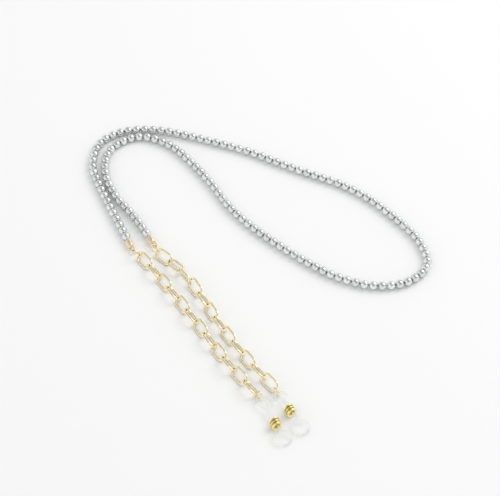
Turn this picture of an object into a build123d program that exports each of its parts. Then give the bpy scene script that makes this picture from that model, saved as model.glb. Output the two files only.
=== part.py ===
"""Beaded eyeglass strap: a pearl strand with an oval link chain and a clear temple loop at each end.

Millimetres and degrees, +Z up, lying on the plane z = 0. The strand is strung on one thread. Each end
of it is closed by a clamshell bead tip, which carries, in turn, a jump ring, a chain of oval links, a
second jump ring, a silicone loop and the coil that slides along that loop.
"""

from build123d import *
from math import asin, atan2, cos, degrees, hypot, radians, sin, sqrt, tan
import os

# ---- pearl strand ----
pearl_count = 128
pearl_diameter = 4.0
pearl_bore = 0.9
pearl_gap = 0.05  # between neighbouring pearls, and between the end pearl and its bead tip
thread_diameter = 0.45
thread_break = 0.12  # between neighbouring lengths of thread, where the strand flexes
span_count = 11  # stretches of pearls, which flex against one another

# ---- bead tip, folded shut over the crimp ----
cup_diameter = 3.1
cup_length = 5.3
cup_wall = 0.25
cup_seam = 0.12  # slit between the two halves
cup_strap = 0.45  # depth of the strap that hinges the halves, at the pearl
cup_mouth = 0.8  # hole for the thread
hook_length = 3.1  # from the cup's end to the outside of the hook
hook_wire = 0.7
hook_inner_width = 1.4
hook_free_gap = 0.12  # between the hook's cut end and the cup

# ---- crimp and thread end, inside the bead tip ----
crimp_diameter = 1.8
crimp_length = 1.5
crimp_rounding = 0.25
crimp_clearance = 0.02  # crimp bore over thread, on the diameter
crimp_slack = 0.05  # between the crimp and the cup
thread_end_ball = 0.8

# ---- jump rings ----
tip_ring_diameter = 5.6
end_ring_diameter = 4.4
ring_wire = 0.7
ring_slit = 0.08

# ---- oval links ----
link_count = 12
link_length = 10.1
link_width = 5.8
link_wire = 1.1
running_gap = 0.06  # between pieces of wire where they hang on one another

# ---- silicone temple loop ----
cord_diameter = 1.1
leg_gap = 0.14  # between the two legs, side by side in the coil
ring_eye_width = 4.0  # inside, at the jump ring
temple_eye_width = 5.9  # inside, at the glasses' temple
elbow_radius = 4.0
eye_neck_cords = {"left": (12.0, 0.7), "right": (0.9, 2.9)}  # neck radii of ring eye and temple eye, in cords

# ---- sliding coil ----
coil_wire = 1.15
coil_pitch = 1.25
coil_turns = 3
coil_clearance = 0.08  # between the legs and the inside of the coil
coil_travel = 3.0
coil_parked_share = {"left": 0.97, "right": 0.8}  # of its travel, where each coil rests

# ---- how it lies: corners of the strand's route, from the left end to the right end ----
strand_route = [
    (-56.5, 3.4),
    (-64.2, 20.2),
    (-70.6, 35.0),
    (-76.6, 50.5),
    (-73.6, 67.5),
    (-60.0, 75.2),
    (-43.5, 74.9),
    (-28.5, 70.4),
    (-13.5, 65.2),
    (1.0, 59.6),
    (15.0, 51.8),
    (29.5, 44.8),
    (44.2, 38.2),
    (57.2, 28.6),
    (68.0, 16.8),
    (78.0, 4.2),
    (82.6, -12.4),
    (70.6, -23.6),
    (53.8, -24.8),
    (37.8, -18.7),
    (24.6, -9.4),
    (12.2, 0.8),
    (0.2, 11.8),
    (-10.2, 24.2),
    (-18.0, 38.6),
    (-27.6, 52.2),
    (-38.4, 65.0),
    (-54.2, 72.0),
    (-69.0, 62.6),
    (-70.0, 45.6),
    (-63.8, 30.4),
    (-54.4, 18.4),
    (-47.0, 5.6),
]
arc_share = 0.45  # share of the shorter run that each corner's arc takes

# headings in the plane, counted from +X towards +Y, and rolls about the line of the chain
tip_heading = {"left": -67, "right": -61}
tip_ring_heading = {"left": -42, "right": -100}
tip_roll = 45
tip_ring_roll = -38
link_headings = {
    "left": (-51, -54, -56, -56, -57, -58, -58, -59, -57, -55, -53, -53),
    "right": (-42, -48, -55, -59, -62, -63, -61, -58, -57, -56, -52, -51),
}
link_rolls = {
    "left": (45, -45, 45, -45, 45, -45, 45, -45, 45, -45, 45, -45),
    "right": (45, -17, -75, 45, -45, 45, -45, 45, -45, 45, -45, 45),
}
end_ring_heading = {"left": -44, "right": -66}
end_ring_roll = {"left": 60, "right": -60}
end_ring_rise = 2
loop_heading = {"left": -66, "right": -61}

# ---- sizes that follow ----
pitch = pearl_diameter + pearl_gap
strand_length = pearl_count * pitch
strand_height = pearl_diameter / 2
link_bow_radius = (link_width - link_wire) / 2
link_bow_middle = (link_length - link_width) / 2
link_pitch = link_length - 2 * link_wire - running_gap
tip_ring_radius = (tip_ring_diameter - ring_wire) / 2
end_ring_radius = (end_ring_diameter - ring_wire) / 2
cup_start = pearl_gap / 2
hook_bow_radius = (hook_inner_width + hook_wire) / 2
hook_bow_middle = cup_start + cup_length + hook_length - hook_wire / 2 - hook_bow_radius
leg_offset = (cord_diameter + leg_gap) / 2
eye_neck_radius = {side: [cord_diameter * cords for cords in pair] for side, pair in eye_neck_cords.items()}
coil_parked = {side: coil_travel * share for side, share in coil_parked_share.items()}
coil_inner_radius = leg_offset + cord_diameter / 2 + coil_clearance
coil_radius = coil_inner_radius + coil_wire / 2
coil_length = coil_turns * coil_pitch + coil_wire
coil_height = coil_radius + coil_wire / 2
leg_length = coil_length + coil_travel

pieces = {}
places = {}


def lie(origin, heading, rise, roll):
    """Place whose X runs along the chain, rising by rise and rolled by roll about that line."""
    return Pos(*origin) * Rot(0, 0, heading) * Rot(0, -rise, 0) * Rot(roll, 0, 0)


def along(place, distance):
    """Point at a distance along a place's X."""
    return (place * Pos(distance, 0, 0)).position


def facing(place, middle, radius, child):
    """Point of a bow, centred at middle on its place's X, from which a child hangs along its own X."""
    pull = Plane(child).x_dir
    normal = Plane(place).z_dir
    return along(place, middle) + (pull - normal * pull.dot(normal)).normalized() * radius


def hang(place, middle, radius, wires, child, reach):
    """Place of a child, reach beyond its own near bow, that hangs on a bow of its parent."""
    held = facing(place, middle, radius, child)
    return Pos(*held) * child * Pos(reach - sum(wires) / 2 - running_gap, 0, 0)


def disc(radius, point, direction):
    """Round section at a point, square to a direction."""
    return Plane(origin=point, z_dir=direction) * Circle(radius)


def rod(radius, start, end):
    """Straight round wire."""
    run = Vector(end) - Vector(start)
    return extrude(disc(radius, start, run), amount=run.length, dir=run)


def bow(radius, start, direction, centre, axis, angle):
    """Round wire bent about an axis through a centre."""
    section = disc(radius, start, direction)
    return revolve(section, axis=Axis(centre, axis), revolution_arc=angle)


def capsule(radius, length, start):
    """Round-ended bar along X, from start to start + length."""
    profile = SlotOverall(length, 2 * radius)
    profile -= Pos(0, -radius) * Rectangle(2 * length, 2 * radius)
    return Pos(start + length / 2, 0, 0) * revolve(profile, Axis.X)


def group(shapes):
    """Several pieces as one node."""
    return Compound([solid for shape in shapes for solid in shape.solids()])


# ---- strand ----
def rounded_route(scale):
    """Line through the route's corners, each one rounded off by an arc."""
    points = [Vector(x * scale, y * scale, strand_height) for x, y in strand_route]
    radii = []
    for before, corner, after in zip(points, points[1:], points[2:]):
        into = corner - before
        out = after - corner
        shorter = min(into.length, out.length)
        radii.append(arc_share * shorter / tan(radians(into.get_angle(out)) / 2))
    return FilletPolyline(*points, radius=radii)


def strand_path():
    """Line of the thread, scaled so that it is exactly as long as the pearls strung on it."""
    return rounded_route(strand_length / rounded_route(1).length)


def pearl():
    """Bored pearl, its bore along X."""
    profile = Circle(pearl_diameter / 2) - Rectangle(2 * pearl_diameter, pearl_bore)
    return revolve(profile.faces().sort_by(Axis.Y)[-1], Axis.X)


def make_strand(path):
    """Pearls in spans, with the piece of thread that runs through each span."""
    one_pearl = pearl()
    bounds = [round(pearl_count * n / span_count) for n in range(span_count + 1)]
    cut = thread_break / 2 / strand_length
    for n, (first, last) in enumerate(zip(bounds, bounds[1:]), start=1):
        strung = []
        for index in range(first, last):
            share = (index + 0.5) / pearl_count
            seat = Plane(origin=path @ share, x_dir=path % share, z_dir=(0, 0, 1))
            strung.append(seat.location * one_pearl)
        pieces[f"pearls_{n:02d}"] = group(strung)
        run = path.trim(first / pearl_count + cut, last / pearl_count - cut)
        pieces[f"thread_{n:02d}"] = sweep(disc(thread_diameter / 2, run @ 0, run % 0), path=run)
        places[f"pearls_{n:02d}"] = (first / pearl_count, last / pearl_count)


# ---- bead tip and what it closes over ----
def bead_tip():
    """Clamshell cup with its hook, from the pearl along X; the hook lies in the XY plane."""
    cup_radius = cup_diameter / 2
    wire = hook_wire / 2
    side = hook_bow_radius
    bend = hook_bow_middle
    root = cup_start + cup_length - cup_radius
    outside = capsule(cup_radius, cup_length, cup_start)
    inside = capsule(cup_radius - cup_wall, cup_length - 2 * cup_wall, cup_start + cup_wall)
    whole_leg = rod(wire, (root, side, 0), (bend, side, 0))
    end_bow = bow(wire, (bend, side, 0), (1, 0, 0), (bend, 0, 0), (0, 0, -1), 180)
    free_leg = rod(wire, (root, -side, 0), (bend, -side, 0))
    free_leg -= capsule(cup_radius + hook_free_gap, cup_length + 2 * hook_free_gap, cup_start - hook_free_gap)
    seam_length = cup_length - cup_strap + hook_wire
    seam = Pos(cup_start + cup_strap + seam_length / 2, 0, 0) * Box(seam_length, cup_seam, 2 * cup_diameter)
    mouth = Pos(cup_start, 0, 0) * Cylinder(cup_mouth / 2, 2 * cup_strap, rotation=(0, 90, 0))
    shell = outside + whole_leg + end_bow + free_leg
    return shell - inside - seam - mouth


def crimp_start():
    """Where the crimp's end just clears the round end of the cup's hollow."""
    hollow = cup_diameter / 2 - cup_wall
    return cup_start + cup_diameter / 2 - sqrt((hollow - crimp_slack) ** 2 - (crimp_diameter / 2) ** 2)


def crimp():
    """Crushed tube on the thread."""
    middle = crimp_start() + crimp_length / 2
    body = Cylinder(crimp_diameter / 2, crimp_length)
    body = fillet(body.edges().filter_by(GeomType.CIRCLE), crimp_rounding)
    body -= Cylinder((thread_diameter + crimp_clearance) / 2, 2 * crimp_length)
    return Pos(middle, 0, 0) * Rot(0, 90, 0) * body


def thread_end():
    """Thread from the end pearl, through the crimp, to its melted ball midway to the cup's far wall."""
    crimp_end = crimp_start() + crimp_length
    ball = (crimp_end + cup_start + cup_length - cup_wall) / 2
    run = rod(thread_diameter / 2, (thread_break / 2, 0, 0), (ball, 0, 0))
    return run + Pos(ball, 0, 0) * Sphere(thread_end_ball / 2)


# ---- rings and links, each centred, long way along X, lying in the XY plane ----
def jump_ring(ring_radius):
    """Cut ring; the slit is at its side."""
    slit = degrees(ring_slit / ring_radius)
    turn = Rot(0, 0, 90 + slit / 2)
    return turn * bow(ring_wire / 2, (ring_radius, 0, 0), (0, 1, 0), (0, 0, 0), (0, 0, 1), 360 - slit)


def oval_link():
    """Oval of round wire: two straight sides and two half-round ends."""
    wire = link_wire / 2
    side = link_bow_radius
    bend = link_bow_middle
    whole = rod(wire, (-bend, side, 0), (bend, side, 0))
    whole += bow(wire, (bend, side, 0), (1, 0, 0), (bend, 0, 0), (0, 0, -1), 180)
    whole += rod(wire, (-bend, -side, 0), (bend, -side, 0))
    whole += bow(wire, (-bend, -side, 0), (-1, 0, 0), (-bend, 0, 0), (0, 0, -1), 180)
    return whole


# ---- silicone loop ----
def eye_shape(inner_width, neck_radius):
    """Radius of an eye's round end, and how far its centre is from the neck."""
    end_radius = (inner_width + cord_diameter) / 2
    reach = sqrt((end_radius + neck_radius) ** 2 - (leg_offset + neck_radius) ** 2)
    return end_radius, reach


def eye(inner_width, neck_radius):
    """Teardrop of cord from its neck at the origin out along X, in the XY plane."""
    cord = cord_diameter / 2
    end_radius, reach = eye_shape(inner_width, neck_radius)
    neck_turn = degrees(atan2(reach, leg_offset + neck_radius))
    parts = []
    for way in (1, -1):
        leg = (0, way * leg_offset, 0)
        centre = (0, way * (leg_offset + neck_radius), 0)
        parts.append(bow(cord, leg, (1, 0, 0), centre, (0, 0, way), neck_turn))
    lean = radians(90 - neck_turn)
    out = Vector(-cos(lean), sin(lean), 0)
    across = Vector(sin(lean), cos(lean), 0)
    start = Vector(reach, 0, 0) + out * end_radius
    parts.append(bow(cord, start, across, (reach, 0, 0), (0, 0, -1), 180 + 2 * neck_turn))
    return parts


def eye_length(inner_width, neck_radius):
    """From an eye's neck to the middle of the cord at its far end."""
    end_radius, reach = eye_shape(inner_width, neck_radius)
    return end_radius + reach


def eye_drop(length, end_height):
    """Angle at which an eye leaves its elbow to come down from the coil to a height at its far end."""
    lead = degrees(atan2(elbow_radius, length))
    fall = coil_height - end_height - elbow_radius
    return lead + degrees(asin(fall / hypot(length, elbow_radius)))


def silicone_loop(side, ring_down):
    """Cord loop; its two level legs start at the origin and run along X."""
    cord = cord_diameter / 2
    ring_neck, temple_neck = eye_neck_radius[side]
    temple_down = eye_drop(eye_length(temple_eye_width, temple_neck), cord)
    whole = rod(cord, (0, leg_offset, 0), (leg_length, leg_offset, 0))
    whole += rod(cord, (0, -leg_offset, 0), (leg_length, -leg_offset, 0))
    for place, inner_width, neck, down in (
        (Rot(0, 0, 180), ring_eye_width, ring_neck, ring_down),
        (Pos(leg_length, 0, 0), temple_eye_width, temple_neck, temple_down),
    ):
        for way in (1, -1):
            leg = (0, way * leg_offset, 0)
            whole += place * bow(cord, leg, (1, 0, 0), (0, 0, -elbow_radius), (0, 1, 0), down)
        foot = elbow_radius * Vector(sin(radians(down)), 0, cos(radians(down)) - 1)
        for part in eye(inner_width, neck):
            whole += place * Pos(*foot) * Rot(0, down, 0) * part
    return whole


# ---- coil ----
def slider_coil():
    """Close coil of round wire round the legs, from the origin along X."""
    helix = Helix(pitch=coil_pitch, height=coil_turns * coil_pitch, radius=coil_radius)
    section = disc(coil_wire / 2, helix.position_at(0), helix.tangent_at(0))
    wound = sweep(section, path=helix, is_frenet=True)
    return Location((coil_wire / 2, 0, 0)) * Rot(0, 90, 0) * wound


# ---- one end of the strap ----
def lain_height(roll):
    """Height of a link's middle when it lies on its lower side, rolled by roll."""
    return link_bow_radius * abs(sin(radians(roll))) + link_wire / 2


def add(name, place, shape):
    """Keep a piece where it lies, and the place itself, where its joints are read off."""
    places[name] = place
    pieces[name] = place * shape


def make_end(side, start):
    """Everything that hangs on one end of the strand, from the bead tip to the coil."""
    lain = [lain_height(roll) for roll in link_rolls[side]]
    held = [lain[0]] + [max(pair) for pair in zip(lain, lain[1:])] + [lain[-1]]
    links = []
    for heading, roll, near, far in zip(link_headings[side], link_rolls[side], held, held[1:]):
        links.append(lie((0, 0, 0), heading, degrees(asin((far - near) / link_pitch)), roll))

    tip = lie(start, tip_heading[side], 0, tip_roll)
    add(f"{side}_bead_tip", tip, bead_tip())
    add(f"{side}_crimp", tip, crimp())
    add(f"{side}_thread_end", tip, thread_end())

    rise = 0
    for _ in range(8):
        turned = lie((0, 0, 0), tip_ring_heading[side], rise, tip_ring_roll)
        wires = (hook_wire, ring_wire)
        ring = hang(tip, hook_bow_middle, hook_bow_radius, wires, turned, tip_ring_radius)
        short = held[0] - facing(ring, 0, tip_ring_radius, links[0]).Z
        rise += degrees(short / (2 * tip_ring_radius))
    add(f"{side}_tip_ring", ring, jump_ring(tip_ring_radius))

    reach = link_bow_middle + link_bow_radius
    link = hang(ring, 0, tip_ring_radius, (ring_wire, link_wire), links[0], reach)
    add(f"{side}_link_01", link, oval_link())
    for n in range(1, link_count):
        link = hang(link, link_bow_middle, link_bow_radius, (link_wire, link_wire), links[n], reach)
        link = Pos(0, 0, (held[n] + held[n + 1]) / 2 - link.position.Z) * link
        add(f"{side}_link_{n + 1:02d}", link, oval_link())

    turned = lie((0, 0, 0), end_ring_heading[side], end_ring_rise, end_ring_roll[side])
    ring = hang(link, link_bow_middle, link_bow_radius, (link_wire, ring_wire), turned, end_ring_radius)
    add(f"{side}_end_ring", ring, jump_ring(end_ring_radius))

    length = eye_length(ring_eye_width, eye_neck_radius[side][0])
    down = 0
    for _ in range(8):
        turned = lie((0, 0, 0), loop_heading[side], down, 0)
        neck = hang(ring, 0, end_ring_radius, (ring_wire, cord_diameter), turned, length)
        down = eye_drop(length, along(neck, -length).Z)
    run = elbow_radius * sin(radians(down))
    level = lie((neck.position.X, neck.position.Y, coil_height), loop_heading[side], 0, 0)
    loop = level * Pos(run, 0, 0)
    add(f"{side}_silicone_loop", loop, silicone_loop(side, down))
    add(f"{side}_slider_coil", loop * Pos(coil_parked[side], 0, 0), slider_coil())


strand = strand_path()
make_strand(strand)
make_end("left", strand @ 0)
make_end("right", strand @ 1)

box = Compound(list(pieces.values())).bounding_box()
middle = box.center()
to_origin = Pos(-middle.X, -middle.Y, -box.min.Z)

os.makedirs("parts", exist_ok=True)
for name, piece in pieces.items():
    moved = to_origin * piece
    moved.label = name
    export_step(moved, f"parts/{name}.step")
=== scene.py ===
"""Looks for the beaded eyeglass strap: materials, floor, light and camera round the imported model."""

import math

import bpy
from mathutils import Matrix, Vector


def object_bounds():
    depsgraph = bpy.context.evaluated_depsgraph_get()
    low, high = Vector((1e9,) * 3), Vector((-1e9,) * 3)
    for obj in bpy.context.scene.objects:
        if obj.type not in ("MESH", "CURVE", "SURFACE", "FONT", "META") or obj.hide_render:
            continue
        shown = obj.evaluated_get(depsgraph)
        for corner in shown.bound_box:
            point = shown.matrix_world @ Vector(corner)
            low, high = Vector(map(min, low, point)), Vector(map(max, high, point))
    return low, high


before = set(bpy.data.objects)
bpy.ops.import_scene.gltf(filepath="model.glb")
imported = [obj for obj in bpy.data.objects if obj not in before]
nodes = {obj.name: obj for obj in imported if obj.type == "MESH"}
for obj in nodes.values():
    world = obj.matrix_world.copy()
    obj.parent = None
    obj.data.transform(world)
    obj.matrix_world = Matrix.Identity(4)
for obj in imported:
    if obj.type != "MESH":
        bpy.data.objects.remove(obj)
cad_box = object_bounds()

MM = 0.001

# floor
FLOOR_REACH = 3.0
FLOOR_COLOUR = (0.94, 0.945, 0.94, 1)

# lamps: both are square soft boxes that face the middle of the strap
LAMP_SIDE = 0.9
KEY_PLACE = (0.75, 0.55, 1.0)
KEY_POWER = 6.2
FILL_PLACE = (-0.9, -0.5, 0.9)
FILL_POWER = 1.2

# sky strengths: as a plain backdrop, on matte surfaces, and mirrored in metal low and high up
BACKDROP_SKY = 1.0
MATTE_SKY = 0.76
MIRRORED_LOW = 1.0
MIRRORED_HIGH = 0.4
MIRRORED_SPAN = (0.25, 0.75)

# camera
ELEVATION = math.radians(49.06)
DISTANCE = 0.7632
AIM = Vector((-0.002667, 0.016717, 0))
SENSOR_WIDTH = 36
LENS = 118.8
CLIP_START = 0.01

# Blender's numbers for the colour sockets of a Mix node
MIX_A, MIX_B, MIX_RESULT = 6, 7, 2


# ---- node helpers ----
def new_material(name):
    """Material with an empty node tree and its output node."""
    material = bpy.data.materials.new(name)
    material.use_nodes = True
    tree = material.node_tree
    tree.nodes.clear()
    out = tree.nodes.new("ShaderNodeOutputMaterial")
    return material, tree, out


def add(tree, kind, inputs=None, **settings):
    """Node with its settings and inputs; an input given as a socket is linked."""
    node = tree.nodes.new(kind)
    for key, value in settings.items():
        setattr(node, key, value)
    for key, value in (inputs or {}).items():
        if isinstance(value, bpy.types.NodeSocket):
            tree.links.new(value, node.inputs[key])
        else:
            node.inputs[key].default_value = value
    return node


def surface(tree, out, inputs):
    """Principled surface, linked to the material's output."""
    shader = add(tree, "ShaderNodeBsdfPrincipled", inputs)
    tree.links.new(shader.outputs[0], out.inputs["Surface"])


def ramp(tree, fac, stops):
    """Colour ramp through the given (position, colour) stops."""
    node = add(tree, "ShaderNodeValToRGB", {"Fac": fac})
    elements = node.color_ramp.elements
    while len(elements) < len(stops):
        elements.new(0.5)
    for element, (position, colour) in zip(elements, stops):
        element.position = position
        element.color = (*colour, 1)
    return node.outputs["Color"]


def multiply(tree, colour, other):
    """Product of two colour sockets."""
    node = add(
        tree,
        "ShaderNodeMix",
        {"Factor": 1.0, MIX_A: colour, MIX_B: other},
        data_type="RGBA",
        blend_type="MULTIPLY",
    )
    return node.outputs[MIX_RESULT]


def noise(tree, scale, detail=3):
    """Noise in the model's own frame, with its scale in features per metre."""
    place = add(tree, "ShaderNodeTexCoord").outputs["Object"]
    return add(
        tree,
        "ShaderNodeTexNoise",
        {"Vector": place, "Scale": scale, "Detail": detail, "Roughness": 0.5},
    ).outputs["Fac"]


def spread(tree, fac, lowest, highest):
    """Value between two limits that follows a socket from 0 to 1; a limit may be a socket too."""
    return add(
        tree,
        "ShaderNodeMapRange",
        {"Value": fac, "To Min": lowest, "To Max": highest},
    ).outputs["Result"]


def relief(tree, height, strength, distance):
    """Normal with a shallow relief."""
    return add(
        tree,
        "ShaderNodeBump",
        {"Height": height, "Strength": strength, "Distance": distance},
    ).outputs["Normal"]


def shade_in_grooves(tree, colour, film, reach, own=True, span=(0.25, 0.75)):
    """Colour with painted shade, darker where another surface is close, of the same piece or of any.
    """
    open_sky = add(
        tree,
        "ShaderNodeAmbientOcclusion",
        {"Distance": reach},
        samples=8,
        only_local=own,
    ).outputs["AO"]
    return multiply(tree, colour, ramp(tree, open_sky, [(span[0], film), (span[1], (1, 1, 1))]))


# ---- materials ----
def pearl_material():
    """Silver-grey pearl lustre: a satin metallic ground under a clear, glossy coat."""
    material, tree, out = new_material("pearl")
    island = add(tree, "ShaderNodeNewGeometry").outputs["Random Per Island"]
    tones = [(0, (0.8, 0.82, 0.815)), (0.5, (0.87, 0.89, 0.88)), (1, (0.94, 0.955, 0.95))]
    mottling = [(0.3, (0.86, 0.86, 0.87)), (0.7, (1, 1, 1))]
    ground = multiply(tree, ramp(tree, island, tones), ramp(tree, noise(tree, 900), mottling))
    surface(
        tree,
        out,
        {
            # painted shade: the pearls' ground colour darkens where pearls touch one another
            "Base Color": shade_in_grooves(tree, ground, (0.4, 0.42, 0.41), 1.5 * MM),
            "Specular Tint": (0.35, 0.37, 0.36, 1),
            "Metallic": 0.85,
            "Roughness": spread(tree, noise(tree, 1500), 0.13, 0.2),
            "Normal": relief(tree, noise(tree, 2500, 4), 0.05, 0.1 * MM),
            "Coat Weight": 0.6,
            "Coat Roughness": 0.06,
        },
    )
    return material


def metal_material(name, light, dark, roughness, **groove_shade):
    """Plated wire: two close tones, fine drawing marks and painted shade where surfaces are close."""
    material, tree, out = new_material(name)
    tone = ramp(tree, noise(tree, 700, 4), [(0.375, dark), (0.625, light)])
    surface(
        tree,
        out,
        {
            # painted shade: the tone darkens where surfaces are close
            "Base Color": shade_in_grooves(tree, tone, **groove_shade),
            "Metallic": 1.0,
            "Roughness": spread(tree, noise(tree, 1800), roughness * 0.8, roughness * 1.4),
            "Normal": relief(tree, noise(tree, 5000, 2), 0.08, 0.05 * MM),
        },
    )
    return material


def silicone_material():
    """Clear soft silicone with a slightly hazy skin."""
    material, tree, out = new_material("silicone")
    surface(
        tree,
        out,
        {
            "Base Color": (0.97, 0.975, 0.975, 1),
            "Roughness": spread(tree, noise(tree, 900), 0.08, 0.2),
            "IOR": 1.3,
            "Transmission Weight": 0.95,
            "Normal": relief(tree, noise(tree, 1500, 2), 0.05, 0.1 * MM),
        },
    )
    return material


def thread_material():
    """Twisted nylon bead thread."""
    material, tree, out = new_material("thread")
    place = add(tree, "ShaderNodeTexCoord").outputs["Object"]
    twist = add(
        tree,
        "ShaderNodeTexWave",
        {"Vector": place, "Scale": 900.0, "Distortion": 2.0},
    ).outputs["Fac"]
    surface(
        tree,
        out,
        {
            "Base Color": ramp(tree, twist, [(0, (0.42, 0.42, 0.41)), (1, (0.62, 0.62, 0.6))]),
            "Roughness": 0.6,
            "Normal": relief(tree, twist, 0.4, 0.1 * MM),
        },
    )
    return material


pearl = pearl_material()
pale_gold = metal_material(
    "pale_gold",
    light=(1.0, 0.94, 0.74),
    dark=(1.0, 0.85, 0.54),
    roughness=0.24,
    # painted shade where the chain's links and rings touch other pieces
    film=(0.26, 0.16, 0.05),
    reach=0.5 * MM,
    own=False,
)
coil_gold = metal_material(
    "coil_gold",
    light=(1.0, 0.88, 0.42),
    dark=(0.98, 0.78, 0.29),
    roughness=0.14,
    # painted shade in the grooves between the coil's turns
    film=(0.16, 0.1, 0.02),
    reach=1.0 * MM,
    span=(0.45, 0.95),
)
rose_gold = metal_material(
    "rose_gold",
    light=(1.0, 0.89, 0.68),
    dark=(1.0, 0.8, 0.52),
    roughness=0.34,
    # painted shade where the bead tips touch pearls and links
    film=(0.36, 0.22, 0.1),
    reach=0.6 * MM,
    own=False,
)
silicone = silicone_material()
thread = thread_material()


def material_of(name):
    """Material of a node, told by its name."""
    if name.startswith("pearls"):
        return pearl
    if "thread" in name:
        return thread
    if name.endswith("bead_tip"):
        return rose_gold
    if name.endswith("silicone_loop"):
        return silicone
    if name.endswith("slider_coil"):
        return coil_gold
    return pale_gold


for name, node in nodes.items():
    for slot in node.material_slots:
        slot.material = material_of(name)


# ---- floor ----
def make_floor():
    """Matte white table top that runs out past the view."""
    mesh = bpy.data.meshes.new("floor")
    corners = [
        (-FLOOR_REACH, -FLOOR_REACH, 0),
        (FLOOR_REACH, -FLOOR_REACH, 0),
        (FLOOR_REACH, FLOOR_REACH, 0),
        (-FLOOR_REACH, FLOOR_REACH, 0),
    ]
    mesh.from_pydata(corners, [], [(0, 1, 2, 3)])
    floor = bpy.data.objects.new("floor", mesh)
    bpy.context.scene.collection.objects.link(floor)
    material, tree, out = new_material("floor")
    surface(tree, out, {"Base Color": FLOOR_COLOUR, "Roughness": 0.9, "Specular IOR Level": 0.1})
    mesh.materials.append(material)


make_floor()


# ---- light ----
def area_light(name, place, power):
    """Square soft box that faces the middle of the strap."""
    lamp = bpy.data.lights.new(name, "AREA")
    lamp.shape = "RECTANGLE"
    lamp.size = lamp.size_y = LAMP_SIDE
    lamp.energy = power
    holder = bpy.data.objects.new(name, lamp)
    holder.location = place
    low, high = cad_box
    centre = (Vector(low) + Vector(high)) / 2
    aim = centre - Vector(place)
    holder.rotation_euler = aim.to_track_quat("-Z", "Y").to_euler()
    bpy.context.scene.collection.objects.link(holder)


def make_sky():
    """White sky: a little dimmer on matte surfaces, and dimmer overhead where metal mirrors it."""
    world = bpy.data.worlds.new("world")
    bpy.context.scene.world = world
    world.use_nodes = True
    tree = world.node_tree
    tree.nodes.clear()
    out = tree.nodes.new("ShaderNodeOutputWorld")
    path = add(tree, "ShaderNodeLightPath").outputs
    direction = add(tree, "ShaderNodeTexCoord").outputs["Generated"]
    height = add(tree, "ShaderNodeSeparateXYZ", {"Vector": direction}).outputs["Z"]
    tent = add(
        tree,
        "ShaderNodeMapRange",
        {
            "Value": height,
            "From Min": MIRRORED_SPAN[0],
            "From Max": MIRRORED_SPAN[1],
            "To Min": MIRRORED_LOW,
            "To Max": MIRRORED_HIGH,
        },
    ).outputs["Result"]
    seen = add(
        tree,
        "ShaderNodeMath",
        {0: path["Is Camera Ray"], 1: path["Is Transmission Ray"]},
        operation="MAXIMUM",
    ).outputs[0]
    unseen = spread(tree, path["Is Glossy Ray"], MATTE_SKY, tent)
    background = add(
        tree,
        "ShaderNodeBackground",
        {"Color": (1, 1, 1, 1), "Strength": spread(tree, seen, unseen, BACKDROP_SKY)},
    )
    tree.links.new(background.outputs[0], out.inputs["Surface"])


area_light("key", KEY_PLACE, KEY_POWER)
area_light("fill", FILL_PLACE, FILL_POWER)
make_sky()


# ---- camera ----
def make_camera():
    """Camera at the viewing angle, looking down on the strap from its chains' side."""
    camera_data = bpy.data.cameras.new("camera")
    camera_data.sensor_width = SENSOR_WIDTH
    camera_data.lens = LENS
    camera_data.clip_start = CLIP_START
    camera = bpy.data.objects.new("camera", camera_data)
    back = Vector((0, -math.cos(ELEVATION), math.sin(ELEVATION)))
    camera.location = AIM + back * DISTANCE
    camera.rotation_euler = (math.pi / 2 - ELEVATION, 0, 0)
    bpy.context.scene.collection.objects.link(camera)
    bpy.context.scene.camera = camera
    bpy.context.scene.view_settings.view_transform = "Standard"


make_camera()
